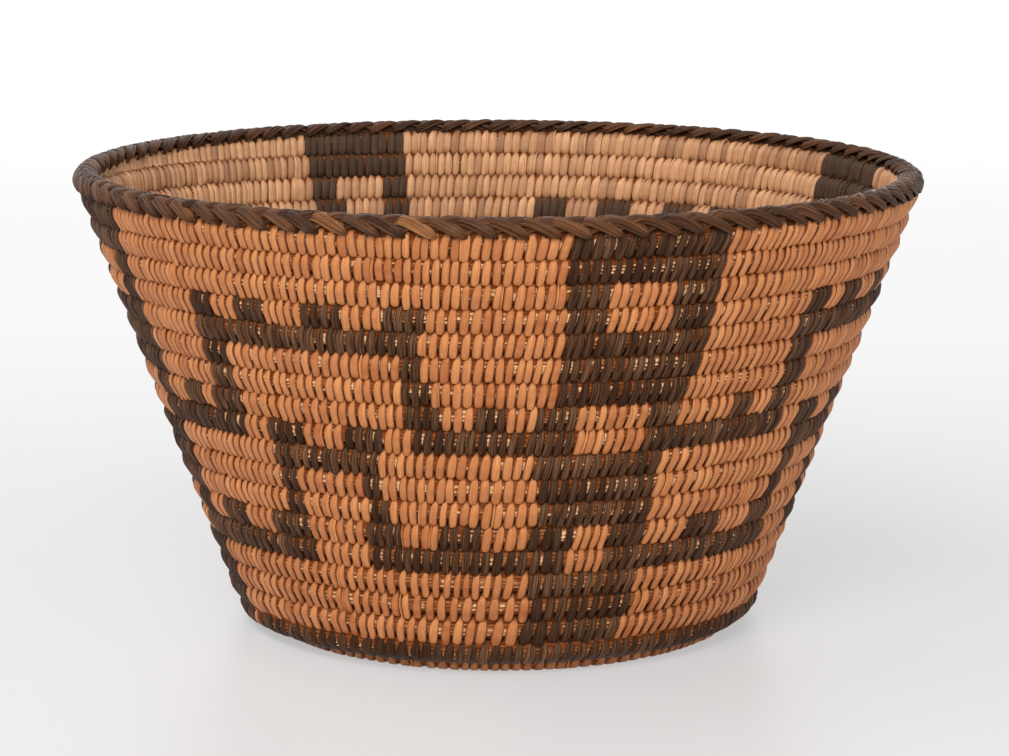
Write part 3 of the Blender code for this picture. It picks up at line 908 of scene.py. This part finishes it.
def braid_core():
    """The hidden layer of the braid under the crest, which fills it between the strips."""
    turns = np.linspace(0, 1, CORE_RINGS)[:, None]
    angle = np.radians(np.array(CORE_ANGLES))[None, :]
    points = over_rim(turns, angle, rim_half + SEAT_GAP + np.array(CORE_LIFTS)[None])
    corner = np.arange(len(CORE_ANGLES))[None]
    fibre = (turns * 2 * np.pi * rim_radius, corner * 0.001, 1.0)
    strand_piece("braid_core", points[None], fibre, (0.0, 0.0, 1.0), braid_splints,
                 ["rim_braid"])


braid_core()
for side, label in ((1, "outside"), (-1, "inside")):
    points, fibre, finish = braid_legs(side)
    strand_piece(f"braid_{label}", points, fibre, finish, braid_splints,
                 ["rim_braid"])


# The studio
# A pale seamless floor that fades to white behind the basket, a large soft lamp high in front of it,
# weaker ones at the right and above on the left, and the camera a little above the rim, looking down.
CAMERA_DISTANCE = 0.864
CAMERA_DOWN = math.radians(10.4)
CAMERA_AIM = 0.0615                  # height of the middle of the view, over the bowl's middle
CAMERA_LENS = 119.3
CAMERA_SENSOR = 36.0
CAMERA_SHIFT = 0.0070
CAMERA_ROLL = math.radians(0.25)
LAMPS = (                            # place, size and power
    ("key", (-0.24, -1.16, 0.97), 0.75, 16.7),
    ("fill", (0.9, -0.90, 0.50), 0.8, 3.6),
    ("top", (-0.60, -0.10, 1.0), 0.8, 4.8),
)
LAMPS_AIM = (0, 0, 0.05)
FLOOR_SIZE = 9.0
FLOOR_GREY = (0.95, 0.93, 0.92)      # for the light that it throws back on the basket
FLOOR_SEEN = (0.285, 0.276, 0.280)   # for the camera, with the glow of the lit paper added
FLOOR_GLOW = 0.45
FADES = ((0.0, 0.55, 0.14), (0.5, 2.5, 0.50))   # from here to there along Y the floor glows more, to white
SOFT_LIGHT = 0.28                    # of the surroundings, on everything


def camera_and_lamps():
    """The camera looks at the bowl's middle from the front, and the lamps at its lower half."""
    camera_data = bpy.data.cameras.new("camera")
    camera_data.lens = CAMERA_LENS
    camera_data.sensor_width = CAMERA_SENSOR
    camera_data.shift_x = CAMERA_SHIFT
    camera = bpy.data.objects.new("camera", camera_data)
    back = CAMERA_DISTANCE * math.cos(CAMERA_DOWN)
    camera.location = (0.0, -back, CAMERA_AIM + CAMERA_DISTANCE * math.sin(CAMERA_DOWN))
    tilt = Matrix.Rotation(math.pi / 2 - CAMERA_DOWN, 3, "X") @ Matrix.Rotation(CAMERA_ROLL, 3, "Z")
    camera.rotation_euler = tilt.to_euler()
    bpy.context.scene.collection.objects.link(camera)
    bpy.context.scene.camera = camera
    for name, place, size, power in LAMPS:
        lamp_data = bpy.data.lights.new(name, "AREA")
        lamp_data.size = size
        lamp_data.energy = power
        lamp = bpy.data.objects.new(name, lamp_data)
        lamp.location = place
        beam = Vector(LAMPS_AIM) - Vector(place)
        lamp.rotation_euler = beam.to_track_quat("-Z", "Y").to_euler()
        bpy.context.scene.collection.objects.link(lamp)


def seen_directly(tree):
    """1 for what the camera sees, also in reflections, and 0 for light that falls on things."""
    ray = tree.nodes.new("ShaderNodeLightPath")
    seen = math_node(tree, "ADD", ray.outputs["Is Camera Ray"], ray.outputs["Is Glossy Ray"])
    return math_node(tree, "ADD", seen, ray.outputs["Is Transmission Ray"], clamp=True)


def floor_sweep():
    """The floor, pale grey under the basket and white further back."""
    mesh = bpy.data.meshes.new("floor")
    half = FLOOR_SIZE / 2
    corners = [(-half, -half, 0), (half, -half, 0), (half, half, 0), (-half, half, 0)]
    mesh.from_pydata(corners, [], [(0, 1, 2, 3)])
    material, tree, shader = new_material("floor_paper", 0.35)
    shader.inputs["Roughness"].default_value = 0.42
    seen = seen_directly(tree)
    tree.links.new(mixed(tree, seen, FLOOR_GREY, FLOOR_SEEN), shader.inputs["Base Color"])
    place = tree.nodes.new("ShaderNodeTexCoord")
    parts = tree.nodes.new("ShaderNodeSeparateXYZ")
    tree.links.new(place.outputs["Object"], parts.inputs[0])
    glow = FLOOR_GLOW
    for begin, end, more in FADES:
        grown = math_node(tree, "MULTIPLY", stepped(tree, parts.outputs["Y"], begin, end), more)
        glow = math_node(tree, "ADD", grown, glow)
    shader.inputs["Emission Color"].default_value = (1.0, 1.0, 1.0, 1.0)
    tree.links.new(math_node(tree, "MULTIPLY", glow, seen), shader.inputs["Emission Strength"])
    mesh.materials.append(material)
    floor = bpy.data.objects.new("floor", mesh)
    bpy.context.scene.collection.objects.link(floor)


def white_surroundings():
    """White to the camera and in reflections; plain soft light for everything else."""
    world = bpy.data.worlds.new("studio")
    bpy.context.scene.world = world
    world.use_nodes = True
    tree = world.node_tree
    seen = math_node(tree, "MULTIPLY", seen_directly(tree), 1.0 - SOFT_LIGHT)
    strength = math_node(tree, "ADD", seen, SOFT_LIGHT)
    background = tree.nodes["Background"]
    background.inputs["Color"].default_value = (1.0, 1.0, 1.0, 1.0)
    tree.links.new(strength, background.inputs["Strength"])


camera_and_lamps()
floor_sweep()
white_surroundings()
bpy.context.scene.view_settings.view_transform = "Standard"
